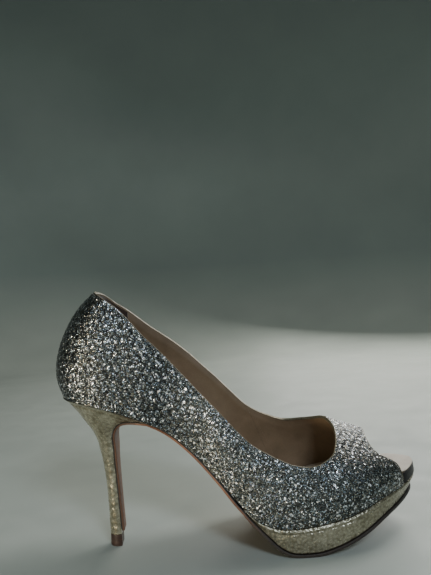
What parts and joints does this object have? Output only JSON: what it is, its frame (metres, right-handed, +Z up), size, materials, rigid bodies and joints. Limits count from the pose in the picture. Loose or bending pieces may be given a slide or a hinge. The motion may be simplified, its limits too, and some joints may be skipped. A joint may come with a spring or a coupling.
{
  "type": "high heel pump",
  "caption": "Peep-toe platform pump with a slim covered stiletto heel, glitter net-embossed upper, metallic leather platform and leather sole.",
  "frame": {"origin": "middle of the shoe's box, on the ground", "axes": "+X towards the toe, +Y towards the inner side of the foot, +Z up"},
  "size_m": [0.209, 0.0798, 0.1486],
  "materials": {
    "glitter_leather": "embossed net under silver glitter",
    "gold_edge": "metallic folded edge",
    "gold_leather": "champagne metallic, fine pebble grain",
    "nude_leather": "smooth lining leather",
    "sock_leather": "smooth sock leather",
    "dark_suede": "napped suede",
    "tape": "woven tape",
    "stiffener": "impregnated fibre sheet",
    "fibre_board": "pressed cellulose board",
    "cork": "ground cork",
    "foam": "latex foam",
    "black_edge": "polished black edge",
    "sole_leather": "tan leather, black-dyed edges",
    "heel_plastic": "moulded",
    "top_piece_plastic": "dark moulded plastic",
    "steel": "plain"
  },
  "bodies": {
    "root": {"outer_upper": "glitter_leather", "topline_binding": "gold_edge", "peep_binding": "gold_edge", "topline_tape": "tape", "heel_counter": "stiffener", "toe_puff": "stiffener", "quarter_lining_outer": "nude_leather", "vamp_lining": "nude_leather", "quarter_lining_inner": "nude_leather", "heel_grip": "dark_suede", "heel_screw": "steel", "heel_nail_1": "steel", "heel_nail_2": "steel", "heel_nail_3": "steel", "heel_nail_4": "steel", "heel_nail_5": "steel", "shank_rivet_rear": "steel", "shank_rivet_front": "steel", "steel_shank": "steel", "shank_board": "fibre_board", "bottom_filler": "cork", "insole_board": "fibre_board", "heel_cushion": "foam", "forefoot_cushion": "foam", "sock": "sock_leather", "insole_edge_band": "black_edge", "platform_cover": "gold_leather", "platform_core": "cork", "heel_block": "heel_plastic", "heel_cover": "gold_leather", "heel_tube": "steel", "top_piece_dowel": "steel", "top_piece": "top_piece_plastic", "outsole": "sole_leather"}
  },
  "joints": []
}
